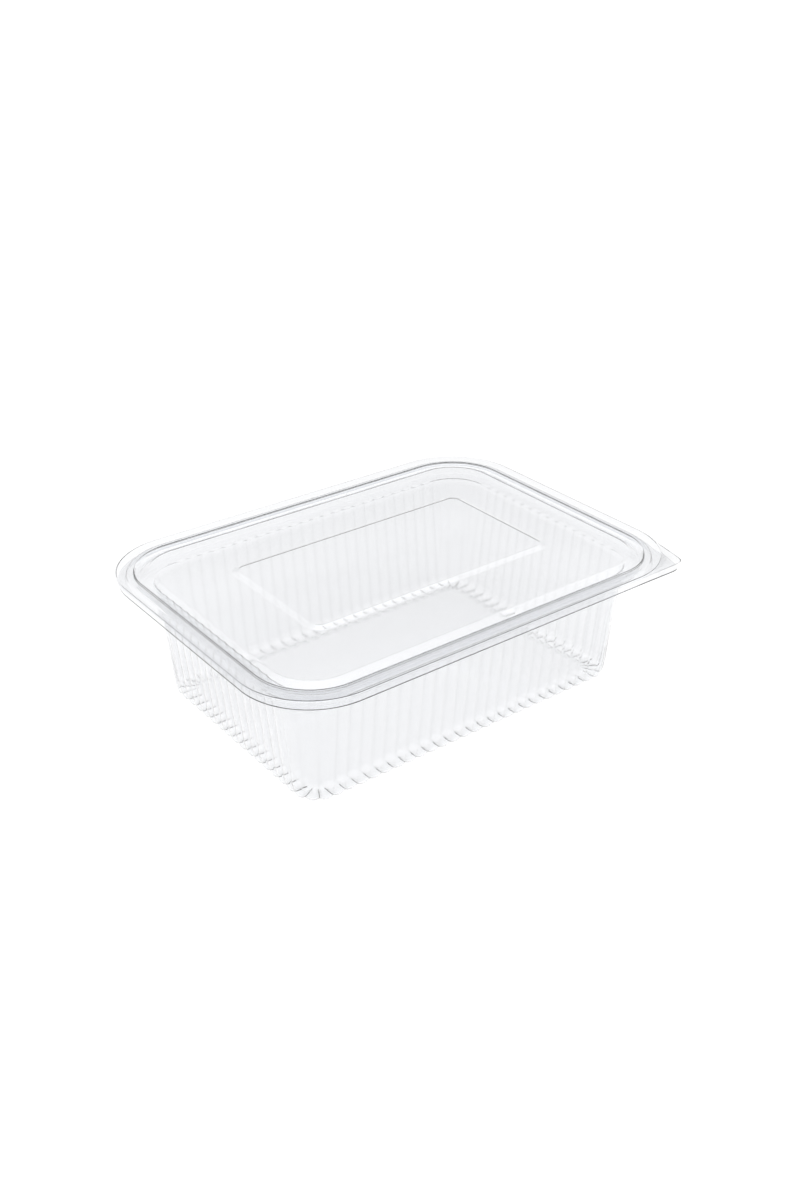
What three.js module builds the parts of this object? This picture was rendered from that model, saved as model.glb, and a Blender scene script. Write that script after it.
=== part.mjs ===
// Clear takeaway meal container: a fluted rectangular tray and its press-on lid.
// Millimetres, +Z up. The origin is the middle of the tray's underside, which rests at z = 0.
// The long side runs along X, and the opening tab is at the corner of +X and -Y.

import * as THREE from 'three';

// Overall size of the lid's flange
const LENGTH = 179.7;
const WIDTH = 133.9;
const CORNER_RADIUS = 28.5;

// Formed sheet and the gap between the lid and the tray
const SHEET = 0.4;
const LID_GAP = 0.3;

// Heights above the resting plane
const LEDGE_Z = 47;
const RIDGE_Z = 51.3;
const LIP_Z = 48.5;
const LID_FLANGE_Z = RIDGE_Z + SHEET + LID_GAP + SHEET;
const LID_GROOVE_Z = LID_FLANGE_Z - 1.4;

// Raised panel of the lid
const PANEL_LENGTH = 107.5;
const PANEL_WIDTH = 57.6;
const PANEL_RADIUS = 5.8;
const PANEL_STEP = 1.2;
const PANEL_RISE = 0.8;

// Flutes of the tray's wall
const LONG_SIDE_FLUTES = 24;
const SHORT_SIDE_FLUTES = 15;
const CORNER_FLUTES = 3;
const STEPS_PER_SIDE_FLUTE = 4;
const STEPS_PER_CORNER_FLUTE = 6;

// Smooth corners of the rim and the lid
const STEPS_PER_CORNER = 14;

// Places are counted round the rim: one for each corner and one for each side
const PLACES_ROUND_RIM = 8;

// Opening tab: the front edge carries on straight, and the side edge leans in from the corner's start
const TAB_CORNER = 3;
const TAB_SIDE_LEAN = 0.2;
const TAB_TIP_SHARPNESS = 22;

// The tray's outside face, from the floor's edge to the lip:
// distance in from the lid's outer edge, height, and depth of the flutes there
const TRAY_PROFILE = [
  [23.7, 0, 0],
  [21.2, 0, 0],
  [19.2, 0.5, 0.5],
  [18.6, 1.9, 0.8],
  [18, 5, 0.6],
  [14, 45.2, 0.5],
  [13.5, 46.6, 0],
  [13, LEDGE_Z, 0],
  [8.3, LEDGE_Z + 0.1, 0],
  [7.5, LEDGE_Z + 0.7, 0],
  [6.5, RIDGE_Z - 0.4, 0],
  [6.1, RIDGE_Z, 0],
  [5.1, RIDGE_Z, 0],
  [4.85, RIDGE_Z - 0.4, 0],
  [4.6, LIP_Z + 0.3, 0],
  [4.3, LIP_Z, 0],
  [1, LIP_Z, 0],
];

// The lid's upper face, from the plate's edge to the outer edge, in the same terms
const LID_PROFILE = [
  [12.1, LID_FLANGE_Z, 0],
  [8.8, LID_GROOVE_Z, 0],
  [7.7, LID_GROOVE_Z, 0],
  [6.8, LID_FLANGE_Z, 0],
  [0, LID_FLANGE_Z, 0],
];

/** Rounded rectangle with one vertex for each sample, counter-clockwise seen from above. */
function ringPoints(samples, { length, width, radius }, z, depthAt, reachAt) {
  const halfX = length / 2 - radius;
  const halfY = width / 2 - radius;
  const centres = [[halfX, halfY], [-halfX, halfY], [-halfX, -halfY], [halfX, -halfY]];
  return samples.map((sample) => {
    const { corner, turn, along } = sample;
    const angle = (corner + turn) * Math.PI / 2;
    const start = centres[corner];
    const end = along > 0 ? centres[(corner + 1) % 4] : start;
    const out = radius + depthAt(sample) + reachAt(sample);
    const x = start[0] + (end[0] - start[0]) * along + out * Math.cos(angle);
    const y = start[1] + (end[1] - start[1]) * along + out * Math.sin(angle);
    return new THREE.Vector3(x, y, z);
  });
}

/** Outline that lies a distance in from a rounded rectangle. */
function insetOutline(length, width, radius, inset) {
  return { length: length - 2 * inset, width: width - 2 * inset, radius: radius - inset };
}

/** Samples round the rim: each corner's arc, then the straight side that follows it. */
function rimSamples(stepsAtCorner, stepsAlongSide) {
  const samples = [];
  for (let corner = 0; corner < 4; corner += 1) {
    const arcSteps = stepsAtCorner(corner);
    for (let i = 0; i < arcSteps; i += 1) {
      const turn = i / arcSteps;
      samples.push({ corner, turn, along: 0, place: 2 * corner + turn });
    }
    const sideSteps = stepsAlongSide(corner);
    for (let i = 0; i < sideSteps; i += 1) {
      const along = i / sideSteps;
      samples.push({ corner, turn: 1, along, place: 2 * corner + 1 + along });
    }
  }
  return samples;
}

/** Number of flutes on the straight side that follows a corner. */
function sideFlutes(corner) {
  return corner % 2 === 0 ? LONG_SIDE_FLUTES : SHORT_SIDE_FLUTES;
}

/** How far a point of a flute stands out of its groove, from 0 to 1. */
function fluteHeight({ corner, turn, along, place }) {
  const onArc = place < 2 * corner + 1;
  const phase = onArc ? turn * CORNER_FLUTES : along * sideFlutes(corner);
  const across = 2 * (phase - Math.floor(phase)) - 1;
  return 1 - across * across;
}

/** How far the opening tab reaches beyond the corner's arc. */
function tabReach({ corner, turn, place }) {
  if (corner !== TAB_CORNER || place >= 2 * corner + 1) return 0;
  const angle = (1 - turn) * Math.PI / 2;
  const toFront = CORNER_RADIUS / Math.sin(angle);
  const toSide = CORNER_RADIUS / (Math.cos(angle) + TAB_SIDE_LEAN * Math.sin(angle));
  const soft = (toFront ** -TAB_TIP_SHARPNESS + toSide ** -TAB_TIP_SHARPNESS) ** (-1 / TAB_TIP_SHARPNESS);
  return Math.max(soft - CORNER_RADIUS, 0);
}

/** The line that lies a distance above a profile, square to it, as [inset, z, flute depth]. */
function offsetProfile(profile, distance) {
  return profile.map(([inset, z, depth], i) => {
    const before = profile[Math.max(i - 1, 0)];
    const after = profile[Math.min(i + 1, profile.length - 1)];
    const normals = [[before, [inset, z]], [[inset, z], after]]
      .map(([a, b]) => [b[1] - a[1], a[0] - b[0]])
      .filter(([dz, dOut]) => Math.hypot(dz, dOut) > 0)
      .map(([dz, dOut]) => [dz / Math.hypot(dz, dOut), dOut / Math.hypot(dz, dOut)]);
    const first = normals[0];
    const last = normals[normals.length - 1];
    const mitre = distance / (1 + first[0] * last[0] + first[1] * last[1]);
    return [inset + (first[0] + last[0]) * mitre, z + (first[1] + last[1]) * mitre, depth];
  });
}

/** Gathers rings of vertices and the triangles between them into one closed body. */
class Shell {
  constructor() {
    this.vertices = [];
    this.triangles = [];
  }

  addRing(samples, points) {
    const first = this.vertices.length;
    this.vertices.push(...points);
    return samples.map(({ place }, i) => ({ index: first + i, place }));
  }

  /** Joins two rings of any two counts. The faces point outward where `upper` is the higher ring. */
  join(lower, upper) {
    let i = 0;
    let j = 0;
    const placeOf = (ring, k) => (k < ring.length ? ring[k].place : PLACES_ROUND_RIM);
    while (i < lower.length || j < upper.length) {
      const a = lower[i % lower.length].index;
      const b = upper[j % upper.length].index;
      const lowerNext = placeOf(lower, i + 1);
      const upperNext = placeOf(upper, j + 1);
      if (j >= upper.length || (i < lower.length && lowerNext <= upperNext)) {
        this.triangles.push(a, lower[(i + 1) % lower.length].index, b);
        i += 1;
      } else {
        this.triangles.push(a, upper[(j + 1) % upper.length].index, b);
        j += 1;
      }
    }
  }

  /** Closes a flat ring with a fan round its middle. */
  cap(ring, facesUp) {
    const z = this.vertices[ring[0].index].z;
    const middle = this.vertices.length;
    this.vertices.push(new THREE.Vector3(0, 0, z));
    ring.forEach(({ index }, k) => {
      const next = ring[(k + 1) % ring.length].index;
      this.triangles.push(middle, ...(facesUp ? [index, next] : [next, index]));
    });
  }

  geometry() {
    const geometry = new THREE.BufferGeometry().setFromPoints(this.vertices);
    geometry.setIndex(this.triangles);
    geometry.computeVertexNormals();
    return geometry;
  }
}

const none = () => 0;
const smoothSamples = rimSamples(() => STEPS_PER_CORNER, () => 1);
const tabbedSamples = rimSamples((corner) => (corner === TAB_CORNER ? 2 : 1) * STEPS_PER_CORNER, () => 1);
const flutedSamples = rimSamples(
  () => CORNER_FLUTES * STEPS_PER_CORNER_FLUTE,
  (corner) => sideFlutes(corner) * STEPS_PER_SIDE_FLUTE,
);

/** One ring of the tray: fluted where the profile has depth, with the tab on the outermost one. */
function trayRing(shell, [inset, z, depth], isEdge) {
  const smooth = isEdge ? tabbedSamples : smoothSamples;
  const samples = depth > 0 ? flutedSamples : smooth;
  const depthAt = depth > 0 ? (sample) => depth * fluteHeight(sample) : none;
  const outline = insetOutline(LENGTH, WIDTH, CORNER_RADIUS, inset);
  return shell.addRing(samples, ringPoints(samples, outline, z, depthAt, isEdge ? tabReach : none));
}

/** Tray: flat floor, scalloped foot, fluted wall, ledge, neck, ridge and flat lip with its tab. */
function trayGeometry() {
  const shell = new Shell();
  const last = TRAY_PROFILE.length - 1;
  const outside = TRAY_PROFILE.map((row, i) => trayRing(shell, row, i === last));
  const inside = offsetProfile(TRAY_PROFILE, SHEET).map((row, i) => trayRing(shell, row, i === last));
  shell.cap(outside[0], false);
  shell.cap(inside[0], true);
  for (let i = 0; i < last; i += 1) {
    shell.join(outside[i], outside[i + 1]);
    shell.join(inside[i + 1], inside[i]);
  }
  shell.join(outside[last], inside[last]);
  return shell.geometry();
}

/** One ring of the lid's rim, with the tab on the outermost one. */
function lidRing(shell, [inset, z], isEdge) {
  const outline = insetOutline(LENGTH, WIDTH, CORNER_RADIUS, inset);
  return shell.addRing(tabbedSamples, ringPoints(tabbedSamples, outline, z, none, isEdge ? tabReach : none));
}

/** One ring of the lid's panel, a distance in from its foot. */
function panelRing(shell, inset, z) {
  const outline = insetOutline(PANEL_LENGTH, PANEL_WIDTH, PANEL_RADIUS, inset);
  return shell.addRing(tabbedSamples, ringPoints(tabbedSamples, outline, z, none, none));
}

/** Rings of one face of the lid, from the top of the raised panel to the outer edge. */
function lidFace(shell, profile) {
  const plateZ = profile[0][1];
  return [
    panelRing(shell, PANEL_STEP, plateZ + PANEL_RISE),
    panelRing(shell, 0, plateZ),
    ...profile.map((row, i) => lidRing(shell, row, i === profile.length - 1)),
  ];
}

/** Lid: raised panel, flat plate, shallow groove and flat flange with the tab's upper leaf. */
function lidGeometry() {
  const shell = new Shell();
  const upper = lidFace(shell, LID_PROFILE);
  const lower = lidFace(shell, offsetProfile(LID_PROFILE, -SHEET));
  const last = upper.length - 1;
  shell.cap(upper[0], true);
  shell.cap(lower[0], false);
  for (let i = 0; i < last; i += 1) {
    shell.join(upper[i + 1], upper[i]);
    shell.join(lower[i], lower[i + 1]);
  }
  shell.join(lower[last], upper[last]);
  return shell.geometry();
}

/** Clear food-grade sheet with a slight cool cast. */
function clearSheet() {
  return new THREE.MeshStandardMaterial({
    color: 0xe8ecf0,
    roughness: 0.08,
    metalness: 0,
    transparent: true,
    opacity: 0.3,
  });
}

const container = new THREE.Group();

const tray = new THREE.Mesh(trayGeometry(), clearSheet());
tray.name = 'tray';
container.add(tray);

const lid = new THREE.Mesh(lidGeometry(), clearSheet());
lid.name = 'lid';
container.add(lid);

export default container;
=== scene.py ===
"""Clear takeaway container: a fluted tray and its press-on lid, in a pale studio."""

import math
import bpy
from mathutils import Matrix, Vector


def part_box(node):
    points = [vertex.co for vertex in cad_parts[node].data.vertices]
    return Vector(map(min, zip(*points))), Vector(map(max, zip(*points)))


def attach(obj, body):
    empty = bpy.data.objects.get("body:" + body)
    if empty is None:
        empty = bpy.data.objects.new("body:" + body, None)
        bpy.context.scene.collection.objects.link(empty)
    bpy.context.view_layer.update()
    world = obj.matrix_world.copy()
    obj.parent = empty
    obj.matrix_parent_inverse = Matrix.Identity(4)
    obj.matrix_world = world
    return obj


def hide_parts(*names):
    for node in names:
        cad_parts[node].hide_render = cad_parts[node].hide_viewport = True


bl_info = {
    "name": "Clear Takeaway Container",
    "version": (1, 0, 0),
    "blender": (4, 5, 0),
    "location": "View3D > Sidebar > Container",
    "description": "Builds a clear fluted meal tray with a press-on lid, and a pale studio round it",
    "category": "Add Mesh",
}

from collections import namedtuple

import bpy
from mathutils import Matrix, Vector

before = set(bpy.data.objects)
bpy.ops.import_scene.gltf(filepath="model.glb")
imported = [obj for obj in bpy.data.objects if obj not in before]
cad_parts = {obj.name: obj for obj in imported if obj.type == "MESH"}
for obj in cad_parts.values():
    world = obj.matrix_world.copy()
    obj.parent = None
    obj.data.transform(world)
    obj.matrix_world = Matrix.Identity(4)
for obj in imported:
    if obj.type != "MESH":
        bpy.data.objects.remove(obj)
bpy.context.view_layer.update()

MM = 0.001

# The outer boxes of the tray and the lid, as packed
TRAY_LOW, TRAY_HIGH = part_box("tray")
LID_LOW, LID_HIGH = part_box("lid")
HALF_LENGTH = (LID_HIGH.x - LID_LOW.x) / 2
HALF_WIDTH = (LID_HIGH.y - LID_LOW.y) / 2

# Where the rim's corners lie, anticlockwise from the corner of +X and +Y
CORNER_SIGNS = ((1, 1), (-1, 1), (-1, -1), (1, -1))
LEAST_CORNER_RADIUS = 1.5 * MM

# The opening tab: its corner, how far its short edge leans out, and how sharp its tip is
TAB_CORNER = 3
TAB_SIDE_LEAN = 0.2
TAB_SHARPNESS = 22

# How a section line is rounded: steps in a bend, the turn that counts as straight, and how much of
# each neighbouring stretch a bend may use
BEND_STEPS = 5
STRAIGHT_TURN = 0.02
BEND_SHARE = 0.49

# How finely the rim is divided
STEPS_PER_SIDE_FLUTE = 8
STEPS_PER_CORNER_FLUTE = 12
LID_SIDE_STEPS = 24
LID_CORNER_STEPS = 36
SHARP_EDGE = math.radians(50)

# Heights between which the wall takes the darker wall tint, a cool cast with painted shade, with a soft
# change at both ends
FEET_BLEND = (1.0 * MM, 4.0 * MM)
LEDGE_BLEND = (47.0 * MM, 45.0 * MM)

# Faint ripples and haze of the formed sheet
RIPPLE_SCALE = 45.0
RIPPLE_HEIGHT = 0.4 * MM
RIPPLE_STRENGTH = 0.25
HAZE_SCALE = 160.0
HAZE_ROUGHNESS = 0.04
HAZE_SEED_STEP = 7

# The studio: half the floor's side, how far the floor lies below the feet, and the camera
FLOOR_REACH = 6.0
FLOOR_DROP = 0.2 * MM
FLOOR_ROUGHNESS = 0.9
LIGHT_BOUNCES = 24
CAMERA_PLACE = Vector((-0.26125, -0.34605, 0.27485))
CAMERA_AHEAD = Vector((0.531698, 0.694384, -0.484901))
CAMERA_SENSOR = 36.0

# One point of a section: distance in from the rim, height, flute depth on the sides and in the
# corners, and the radius of the bend there
Row = namedtuple("Row", "inset z side_depth corner_depth bend", defaults=(0, 0, 0))

# One place round the rim: its corner, how far round the arc and along the side after it, whether it
# is on the arc, and how far it stands out of its flute's groove
Sample = namedtuple("Sample", "corner turn along on_arc height")


class TraySizes(bpy.types.PropertyGroup):
    """Sizes of the tray's formed sheet."""

    sheet: bpy.props.FloatProperty(
        name="Sheet", description="Thickness of the formed sheet", default=0.4 * MM, unit="LENGTH"
    )
    corner_radius: bpy.props.FloatProperty(
        name="Corner radius", description="Radius of the rim's corners", default=28.5 * MM, unit="LENGTH"
    )
    ledge_drop: bpy.props.FloatProperty(
        name="Ledge drop", description="Depth of the ledge below the ridge", default=4.3 * MM,
        unit="LENGTH",
    )
    lip_drop: bpy.props.FloatProperty(
        name="Lip drop", description="Depth of the flat lip below the ridge", default=2.8 * MM,
        unit="LENGTH",
    )
    floor_rise: bpy.props.FloatProperty(
        name="Floor rise", description="Height of the floor above the feet", default=0.7 * MM,
        unit="LENGTH",
    )
    flute_depth: bpy.props.FloatProperty(
        name="Flute depth", description="How far a flute stands out of the wall", default=0.4 * MM,
        unit="LENGTH",
    )
    toe_depth: bpy.props.FloatProperty(
        name="Toe depth", description="How far a flute stands out at its foot", default=0.55 * MM,
        unit="LENGTH",
    )
    long_flutes: bpy.props.IntProperty(
        name="Long side flutes", description="Flutes along a long side", default=24, min=1
    )
    short_flutes: bpy.props.IntProperty(
        name="Short side flutes", description="Flutes along a short side", default=15, min=1
    )
    corner_flutes: bpy.props.IntProperty(
        name="Corner flutes", description="Flutes round a corner", default=3, min=1
    )


class LidSizes(bpy.types.PropertyGroup):
    """Sizes of the lid's relief."""

    edge_curl: bpy.props.FloatProperty(
        name="Edge curl", description="How far the flange's cut edge turns down", default=0.4 * MM,
        unit="LENGTH",
    )
    groove_drop: bpy.props.FloatProperty(
        name="Groove drop", description="Depth of the groove round the plate", default=1.4 * MM,
        unit="LENGTH",
    )
    panel_rise: bpy.props.FloatProperty(
        name="Panel rise", description="Height of the panel above the plate", default=0.8 * MM,
        unit="LENGTH",
    )
    panel_inset: bpy.props.FloatProperty(
        name="Panel inset", description="Distance from the rim to the panel", default=36.1 * MM,
        unit="LENGTH",
    )
    panel_narrowing: bpy.props.FloatProperty(
        name="Panel narrowing", description="Further distance in from the long sides", default=2.05 * MM,
        unit="LENGTH",
    )
    panel_radius: bpy.props.FloatProperty(
        name="Panel radius", description="Radius of the panel's corners", default=5.8 * MM, unit="LENGTH"
    )


class SheetLook(bpy.types.PropertyGroup):
    """Finish of the clear sheet."""

    tint: bpy.props.FloatVectorProperty(
        name="Tint", description="Slight cool cast of the clear sheet", subtype="COLOR",
        default=(0.97, 0.975, 0.985),
    )
    # Wall tint: the sheet's cool cast with painted shade, which makes the fluted walls darker than the
    # floor and rim
    wall_tint_and_shade: bpy.props.FloatVectorProperty(
        name="Wall tint", description="Cast of the drawn wall", subtype="COLOR",
        default=(0.90, 0.905, 0.915),
    )
    # Groove shade: painted shade that darkens the grooves between flutes toward black
    groove_shade: bpy.props.FloatProperty(
        name="Groove shade", description="How much the grooves between flutes dim the light", default=0.05,
        subtype="FACTOR",
    )
    refraction: bpy.props.FloatProperty(
        name="Refraction", description="Index of refraction of the sheet", default=1.57, min=1.0
    )
    gloss: bpy.props.FloatProperty(
        name="Gloss roughness", description="Roughness of the polished sheet", default=0.02,
        subtype="FACTOR",
    )


class StudioLook(bpy.types.PropertyGroup):
    """Floor, light and camera."""

    floor_color: bpy.props.FloatVectorProperty(
        name="Floor", description="Colour of the pale floor", subtype="COLOR", default=(0.15, 0.15, 0.15)
    )
    floor_glow: bpy.props.FloatProperty(
        name="Floor glow", description="Light that the floor gives off, as a light table does",
        default=1.0, min=0.0,
    )
    horizon: bpy.props.FloatProperty(
        name="Horizon light", description="Brightness of the studio at floor level", default=0.95, min=0.0
    )
    dimming: bpy.props.FloatProperty(
        name="Dimming", description="How fast the studio dims above floor level", default=2.28, min=0.0
    )
    overhead: bpy.props.FloatProperty(
        name="Overhead light", description="Soft light that grows toward the top of the studio",
        default=3.13, min=0.0,
    )
    lens: bpy.props.FloatProperty(
        name="Lens", description="Focal length of the camera, in millimetres", default=39.6, min=1.0
    )


def heading(start, end):
    """Direction from one point of a section to another, as (inward, up)."""
    inward, rise = end.inset - start.inset, end.z - start.z
    length = math.hypot(inward, rise)
    return inward / length, rise / length


def mixed(start, end, share):
    """The row that lies a share of the way from one row to the next."""
    return Row(*(a + (b - a) * share for a, b in zip(start, end)))


def bent_line(rows):
    """A section line with its bends rounded."""
    line = [rows[0]]
    for before, row, after in zip(rows, rows[1:], rows[2:]):
        back = heading(row, before)
        ahead = heading(row, after)
        spread = math.acos(max(-1.0, min(1.0, back[0] * ahead[0] + back[1] * ahead[1])))
        if row.bend == 0 or math.pi - spread < STRAIGHT_TURN:
            line.append(row)
            continue
        back_length = math.dist(row[:2], before[:2])
        ahead_length = math.dist(row[:2], after[:2])
        reach = min(row.bend / math.tan(spread / 2), BEND_SHARE * back_length, BEND_SHARE * ahead_length)
        start = mixed(row, before, reach / back_length)
        end = mixed(row, after, reach / ahead_length)
        for step in range(BEND_STEPS + 1):
            t = step / BEND_STEPS
            line.append(Row(*(
                a * (1 - t) ** 2 + 2 * b * t * (1 - t) + c * t ** 2 for a, b, c in zip(start, row, end)
            )))
    line.append(rows[-1])
    return line


def line_normals(line):
    """Unit normals to the right of a section line, as (outward, up)."""
    normals = []
    for i in range(len(line)):
        before = line[max(i - 1, 0)]
        after = line[min(i + 1, len(line) - 1)]
        inward, rise = heading(before, after)
        normals.append((rise, inward))
    return normals


def flute_height(phase):
    """How far a point of a flute stands out of its groove, from 0 to 1."""
    across = 2 * (phase - math.floor(phase)) - 1
    return 1 - across * across


def rim_samples(side_steps, corner_steps, side_flutes, corner_flutes):
    """Places round the rim: each corner's arc, then the straight side that follows it."""
    samples = []
    for corner in range(len(CORNER_SIGNS)):
        for i in range(corner_steps):
            turn = i / corner_steps
            samples.append(Sample(corner, turn, 0.0, True, flute_height(turn * corner_flutes)))
        steps = side_steps[corner % 2]
        for i in range(steps):
            along = i / steps
            height = flute_height(along * side_flutes[corner % 2])
            samples.append(Sample(corner, 1.0, along, False, height))
    return samples


def tab_reach(sample, corner_radius):
    """How far the opening tab reaches beyond the corner's arc: two straight edges and a soft tip."""
    if sample.corner != TAB_CORNER or not sample.on_arc or sample.turn == 0:
        return 0.0
    angle = (1 - sample.turn) * math.pi / 2
    to_front = corner_radius / math.sin(angle)
    to_side = corner_radius / (math.cos(angle) + TAB_SIDE_LEAN * math.sin(angle))
    soft = (to_front ** -TAB_SHARPNESS + to_side ** -TAB_SHARPNESS) ** (-1 / TAB_SHARPNESS)
    return max(soft - corner_radius, 0.0)


def rim_outline(inset, corner_radius):
    """Half length, half width and corner radius of the line that lies a distance in from the rim."""
    return HALF_LENGTH - inset, HALF_WIDTH - inset, max(corner_radius - inset, LEAST_CORNER_RADIUS)


def panel_outline(inset, sizes):
    """The same for a line of the lid's panel."""
    narrowed = HALF_WIDTH - inset - sizes.panel_narrowing
    return HALF_LENGTH - inset, narrowed, sizes.panel_radius + sizes.panel_inset - inset


def ring(samples, row, normal, shift, outline, reaches):
    """The points of one ring: a section point moved along its normal, all round the rim."""
    half_length, half_width, radius = outline
    centres = [(sx * (half_length - radius), sy * (half_width - radius)) for sx, sy in CORNER_SIGNS]
    points = []
    for sample, reach in zip(samples, reaches):
        depth = row.corner_depth if sample.on_arc else row.side_depth
        move = depth * sample.height + shift
        out = radius + normal[0] * move + reach
        x0, y0 = centres[sample.corner]
        x1, y1 = centres[(sample.corner + 1) % len(centres)]
        angle = (sample.corner + sample.turn) * math.pi / 2
        points.append((
            x0 + (x1 - x0) * sample.along + out * math.cos(angle),
            y0 + (y1 - y0) * sample.along + out * math.sin(angle),
            row.z + normal[1] * move,
        ))
    return points


def ring_stack(samples, line, shift, outline_at, corner_radius):
    """The rings of one face of the sheet, from its middle to its edge, where the tab stands out."""
    flush = [0.0] * len(samples)
    tab = [tab_reach(sample, corner_radius) for sample in samples]
    stack = []
    for i, (row, normal) in enumerate(zip(line, line_normals(line))):
        reaches = tab if i == len(line) - 1 else flush
        stack.append(ring(samples, row, normal, shift, outline_at(row.inset), reaches))
    return stack


def groove_rings(samples, line, full_depth):
    """How deep each point lies in a groove between two flutes, ring by ring, from 0 to 1, which masks the
    painted shade of the grooves.
    """
    rings = []
    for row in line:
        on_side = min(row.side_depth / full_depth, 1.0)
        on_corner = min(row.corner_depth / full_depth, 1.0)
        rings.append([
            (1 - sample.height) ** 2 * (on_corner if sample.on_arc else on_side) for sample in samples
        ])
    return rings


def shell_mesh(name, rings_out, rings_in, grooves):
    """A closed shell from two stacks of rings that start round a flat middle and end at an edge."""
    count = len(rings_out[0])
    rings = rings_out + rings_in[::-1]
    vertices = [point for points in rings for point in points]
    faces = []
    for k in range(len(rings) - 1):
        for i in range(count):
            j = (i + 1) % count
            faces.append((k * count + i, k * count + j, (k + 1) * count + j, (k + 1) * count + i))
    for k in (0, len(rings) - 1):
        middle = len(vertices)
        vertices.append((0.0, 0.0, rings[k][0][2]))
        for i in range(count):
            j = (i + 1) % count
            edge = (k * count + i, k * count + j)
            faces.append((middle, *(edge if k else edge[::-1])))
    mesh = bpy.data.meshes.new(name)
    mesh.from_pydata(vertices, [], faces)
    depths = [depth for depth_ring in grooves + grooves[::-1] for depth in depth_ring]
    depths += [0.0] * (len(vertices) - len(depths))
    # The groove depths, kept on the mesh for the grooves' painted shade
    mesh.attributes.new("groove", "FLOAT", "POINT").data.foreach_set("value", depths)
    mesh.validate()
    mesh.shade_smooth()
    mesh.set_sharp_from_angle(angle=SHARP_EDGE)
    return mesh


def add_piece(name, mesh, node, material):
    """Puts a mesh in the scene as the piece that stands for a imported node."""
    piece = bpy.data.objects.new(name, mesh)
    bpy.context.scene.collection.objects.link(piece)
    mesh.materials.append(material)
    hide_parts(node)
    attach(piece, "root")


class Value:
    """A shader socket that takes part in Python arithmetic."""

    def __init__(self, nodes, socket):
        self.nodes = nodes
        self.socket = socket

    def math(self, operation, *values):
        return self.nodes.add("ShaderNodeMath", {"operation": operation}, values)

    def __add__(self, other):
        return self.math("ADD", self, other)

    def __radd__(self, other):
        return self.math("ADD", other, self)

    def __sub__(self, other):
        return self.math("SUBTRACT", self, other)

    def __rsub__(self, other):
        return self.math("SUBTRACT", other, self)

    def __mul__(self, other):
        return self.math("MULTIPLY", self, other)

    def __rmul__(self, other):
        return self.math("MULTIPLY", other, self)


class Nodes:
    """The nodes of one material or world."""

    def __init__(self, owner):
        owner.use_nodes = True
        self.tree = owner.node_tree
        self.tree.nodes.clear()

    def add(self, kind, settings=None, inputs=(), output=0):
        """Adds a node: its settings first, then its sockets' values or links, by place or by name."""
        node = self.tree.nodes.new(kind)
        for key, value in (settings or {}).items():
            setattr(node, key, value)
        pairs = inputs.items() if isinstance(inputs, dict) else enumerate(inputs)
        for key, value in pairs:
            socket = self.named(node.inputs, key)
            if isinstance(value, Value):
                self.tree.links.new(value.socket, socket)
            else:
                socket.default_value = value
        return Value(self, self.named(node.outputs, output)) if node.outputs else node

    def named(self, sockets, key):
        """The socket at a place, or the one in use of that name."""
        if isinstance(key, int):
            return sockets[key]
        return next(socket for socket in sockets if socket.name == key and socket.enabled)


def sheet_noise(nodes, place, seed, scale, detail):
    """Soft noise through the sheet, different for each seed."""
    return nodes.add(
        "ShaderNodeTexNoise", {"noise_dimensions": "4D"},
        {"Vector": place, "W": seed, "Scale": scale, "Detail": detail},
    )


def blend(nodes, height, between):
    """0 at the first of two heights and 1 at the second, with an even change between them."""
    start, end = between
    return nodes.add("ShaderNodeMapRange", None, {"Value": height, "From Min": start, "From Max": end})


def mixed_color(nodes, factor, first, second):
    """Two colours mixed by a factor."""
    return nodes.add(
        "ShaderNodeMix", {"data_type": "RGBA"}, {"Factor": factor, "A": first, "B": second},
        output="Result",
    )


def clear_sheet(name, look, wall_tint_and_shade, seed):
    """Clear food-grade sheet: polished, with faint ripples from forming and a trace of haze, and painted
    shade that darkens the fluted walls and the grooves between flutes.
    """
    material = bpy.data.materials.new(name)
    nodes = Nodes(material)
    place = nodes.add("ShaderNodeTexCoord", output="Object")
    ripples = sheet_noise(nodes, place, seed, RIPPLE_SCALE, 2.0)
    haze = sheet_noise(nodes, place, seed + HAZE_SEED_STEP, HAZE_SCALE, 4.0)
    height = nodes.add("ShaderNodeSeparateXYZ", None, [place], output="Z")
    # Painted shade: the fluted wall between feet and ledge takes the darker wall tint in place of the
    # sheet's plain cast
    shaded_wall = blend(nodes, height, FEET_BLEND) * blend(nodes, height, LEDGE_BLEND)
    cast_and_wall_shade = mixed_color(nodes, shaded_wall, (*look.tint, 1.0), (*wall_tint_and_shade, 1.0))
    # Painted shade: the base colour darkens toward black in the grooves between flutes, standing in for
    # the dark lines of their refraction
    groove = nodes.add("ShaderNodeAttribute", {"attribute_name": "groove"}, output="Fac")
    shaded = mixed_color(nodes, groove * look.groove_shade, cast_and_wall_shade, (0.0, 0.0, 0.0, 1.0))
    bump = nodes.add(
        "ShaderNodeBump", None,
        {"Strength": RIPPLE_STRENGTH, "Distance": RIPPLE_HEIGHT, "Height": ripples},
    )
    bsdf = nodes.add(
        "ShaderNodeBsdfPrincipled", None,
        {
            "Base Color": shaded,
            "Roughness": look.gloss + haze * HAZE_ROUGHNESS,
            "IOR": look.refraction,
            "Transmission Weight": 1.0,
            "Normal": bump,
        },
    )
    nodes.add("ShaderNodeOutputMaterial", None, {"Surface": bsdf})
    return material


def scallop_rows(floor):
    """Round tips of the foot's scallops, where the flutes run out on the floor."""
    first, length, steps = 24.6, 2.0, 6
    rows = []
    for step in range(steps + 1):
        t = step / steps
        depth = floor * math.sqrt(1 - (1 - t) ** 2)
        rows.append(Row((first - length * t) * MM, floor, depth, depth))
    return rows


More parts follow.
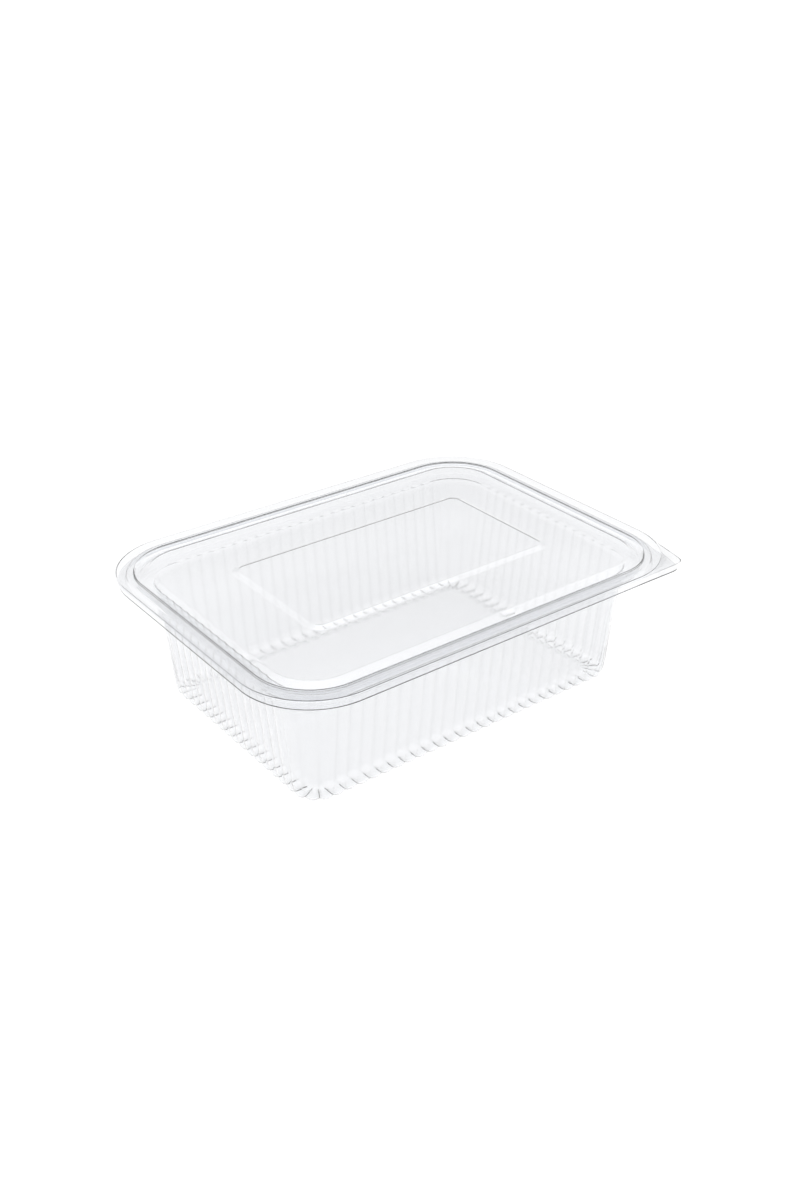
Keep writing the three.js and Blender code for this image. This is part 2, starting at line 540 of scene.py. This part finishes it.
def tray_rows(sizes):
    """Section of the tray's outside face, from the floor to the lip's edge."""
    ridge = TRAY_HIGH.z - sizes.sheet
    ledge = ridge - sizes.ledge_drop
    lip = ridge - sizes.lip_drop
    floor = sizes.floor_rise
    wall, toe = sizes.flute_depth, sizes.toe_depth
    floor_edge = [Row(27.4 * MM, floor)]
    foot = [
        Row(19.0 * MM, floor, floor, floor, 1.5 * MM),
        Row(18.6 * MM, 2.2 * MM, toe, toe, 1.0 * MM),
    ]
    fluted_wall = [
        Row(18.0 * MM, 5.0 * MM, wall, wall, 2.0 * MM),
        Row(17.0 * MM, 15.0 * MM, wall, 0.4 * wall),
        Row(13.9 * MM, ledge - 0.6 * MM, wall, 0.1 * wall),
        Row(13.5 * MM, ledge, 0.7 * wall, 0, 0.5 * MM),
    ]
    stepped_rim = [
        Row(12.0 * MM, ledge),
        Row(7.9 * MM, ledge + 0.1 * MM, bend=0.8 * MM),
        Row(6.4 * MM, ridge, bend=0.45 * MM),
        Row(4.4 * MM, ridge, bend=0.6 * MM),
        Row(3.7 * MM, lip, bend=0.5 * MM),
        Row(1.0 * MM, lip),
    ]
    return floor_edge + scallop_rows(floor) + foot + fluted_wall + stepped_rim


def lid_rows(sizes):
    """Section of the lid's upper face, from the panel to the edge."""
    panel = LID_HIGH.z
    plate = panel - sizes.panel_rise
    groove = plate - sizes.groove_drop
    foot = sizes.panel_inset
    raised_panel = [
        Row(foot + 4.4 * MM, panel),
        Row(foot + 2.5 * MM, panel, bend=1.3 * MM),
        Row(foot, plate, bend=1.1 * MM),
    ]
    shallow_groove = [
        Row(12.1 * MM, plate, bend=2.0 * MM),
        Row(8.8 * MM, groove, bend=0.6 * MM),
        Row(7.7 * MM, groove, bend=0.45 * MM),
        Row(6.8 * MM, plate, bend=0.5 * MM),
    ]
    flange = [
        Row(0.5 * MM, plate, bend=0.3 * MM),
        Row(0.0, plate - sizes.edge_curl),
    ]
    return raised_panel + shallow_groove + flange


class CONTAINER_OT_tray(bpy.types.Operator):
    """Build the fluted tray"""

    bl_idname = "container.tray"
    bl_label = "Tray"

    def execute(self, context):
        sizes = context.scene.container_tray
        look = context.scene.container_sheet
        side_flutes = (sizes.long_flutes, sizes.short_flutes)
        side_steps = [STEPS_PER_SIDE_FLUTE * flutes for flutes in side_flutes]
        corner_steps = STEPS_PER_CORNER_FLUTE * sizes.corner_flutes
        samples = rim_samples(side_steps, corner_steps, side_flutes, sizes.corner_flutes)
        line = bent_line(tray_rows(sizes))

        def outline_at(inset):
            return rim_outline(inset, sizes.corner_radius)

        outside = ring_stack(samples, line, 0.0, outline_at, sizes.corner_radius)
        inside = ring_stack(samples, line, -sizes.sheet, outline_at, sizes.corner_radius)
        grooves = groove_rings(samples, line, sizes.flute_depth)
        mesh = shell_mesh("tray_shell", outside, inside, grooves)
        material = clear_sheet("clear tray sheet", look, look.wall_tint_and_shade, 3.0)
        add_piece("tray_shell", mesh, "tray", material)
        return {"FINISHED"}


class CONTAINER_OT_lid(bpy.types.Operator):
    """Build the press-on lid"""

    bl_idname = "container.lid"
    bl_label = "Lid"

    def execute(self, context):
        sizes = context.scene.container_lid
        tray = context.scene.container_tray
        look = context.scene.container_sheet
        samples = rim_samples((LID_SIDE_STEPS, LID_SIDE_STEPS), LID_CORNER_STEPS, (0, 0), 0)
        line = bent_line(lid_rows(sizes))

        def outline_at(inset):
            if inset > sizes.panel_inset / 2:
                return panel_outline(inset, sizes)
            return rim_outline(inset, tray.corner_radius)

        upper = ring_stack(samples, line, 0.0, outline_at, tray.corner_radius)
        under = ring_stack(samples, line, tray.sheet, outline_at, tray.corner_radius)
        grooves = groove_rings(samples, line, tray.flute_depth)
        mesh = shell_mesh("lid_shell", under, upper, grooves)
        material = clear_sheet("clear lid sheet", look, look.tint, 11.0)
        add_piece("lid_shell", mesh, "lid", material)
        return {"FINISHED"}


class CONTAINER_OT_studio(bpy.types.Operator):
    """Lay the pale floor, light the studio and place the camera"""

    bl_idname = "container.studio"
    bl_label = "Studio"

    def execute(self, context):
        look = context.scene.container_studio
        self.lay_floor(look)
        self.light_studio(look)
        self.place_camera(look)
        context.scene.view_settings.view_transform = "Standard"
        context.scene.cycles.max_bounces = LIGHT_BOUNCES
        context.scene.cycles.transmission_bounces = LIGHT_BOUNCES
        return {"FINISHED"}

    def lay_floor(self, look):
        mesh = bpy.data.meshes.new("floor")
        corners = [(sx * FLOOR_REACH, sy * FLOOR_REACH, -FLOOR_DROP) for sx, sy in CORNER_SIGNS]
        mesh.from_pydata(corners, [], [(0, 1, 2, 3)])
        floor = bpy.data.objects.new("floor", mesh)
        bpy.context.scene.collection.objects.link(floor)
        material = bpy.data.materials.new("pale floor")
        nodes = Nodes(material)
        bsdf = nodes.add(
            "ShaderNodeBsdfPrincipled", None,
            {
                "Base Color": (*look.floor_color, 1.0),
                "Roughness": FLOOR_ROUGHNESS,
                "Specular IOR Level": 0.0,
                "Emission Color": (1.0, 1.0, 1.0, 1.0),
                "Emission Strength": look.floor_glow,
            },
        )
        nodes.add("ShaderNodeOutputMaterial", None, {"Surface": bsdf})
        mesh.materials.append(material)

    def light_studio(self, look):
        world = bpy.data.worlds.new("studio")
        bpy.context.scene.world = world
        nodes = Nodes(world)
        direction = nodes.add("ShaderNodeTexCoord", output="Generated")
        up = nodes.add("ShaderNodeSeparateXYZ", None, [direction], output="Z")
        high = nodes.add("ShaderNodeMath", {"operation": "MAXIMUM"}, [up, 0.0])
        strength = look.horizon + high * (high * look.overhead - look.dimming)
        background = nodes.add(
            "ShaderNodeBackground", None, {"Color": (1.0, 1.0, 1.0, 1.0), "Strength": strength}
        )
        nodes.add("ShaderNodeOutputWorld", None, {"Surface": background})

    def place_camera(self, look):
        data = bpy.data.cameras.new("camera")
        data.lens = look.lens
        data.sensor_width = CAMERA_SENSOR
        camera = bpy.data.objects.new("camera", data)
        bpy.context.scene.collection.objects.link(camera)
        turn = CAMERA_AHEAD.to_track_quat("-Z", "Y").to_matrix().to_4x4()
        camera.matrix_world = Matrix.Translation(CAMERA_PLACE) @ turn
        bpy.context.scene.camera = camera


class CONTAINER_PT_panel(bpy.types.Panel):
    """The container's sizes, looks and build buttons"""

    bl_idname = "CONTAINER_PT_panel"
    bl_label = "Clear Container"
    bl_space_type = "VIEW_3D"
    bl_region_type = "UI"
    bl_category = "Container"

    def draw(self, context):
        for name, group in GROUPS.items():
            box = self.layout.box()
            settings = getattr(context.scene, name)
            for key in group.__annotations__:
                box.prop(settings, key)
        for operator in OPERATORS:
            self.layout.operator(operator.bl_idname)


GROUPS = {
    "container_tray": TraySizes,
    "container_lid": LidSizes,
    "container_sheet": SheetLook,
    "container_studio": StudioLook,
}
OPERATORS = (CONTAINER_OT_tray, CONTAINER_OT_lid, CONTAINER_OT_studio)


def register():
    for group in GROUPS.values():
        bpy.utils.register_class(group)
    for operator in OPERATORS:
        bpy.utils.register_class(operator)
    bpy.utils.register_class(CONTAINER_PT_panel)
    for name, group in GROUPS.items():
        setattr(bpy.types.Scene, name, bpy.props.PointerProperty(type=group))


def unregister():
    for name in GROUPS:
        delattr(bpy.types.Scene, name)
    bpy.utils.unregister_class(CONTAINER_PT_panel)
    for operator in OPERATORS:
        bpy.utils.unregister_class(operator)
    for group in GROUPS.values():
        bpy.utils.unregister_class(group)


def main():
    register()
    bpy.ops.container.tray()
    bpy.ops.container.lid()
    bpy.ops.container.studio()


if __name__ == "__main__":
    main()
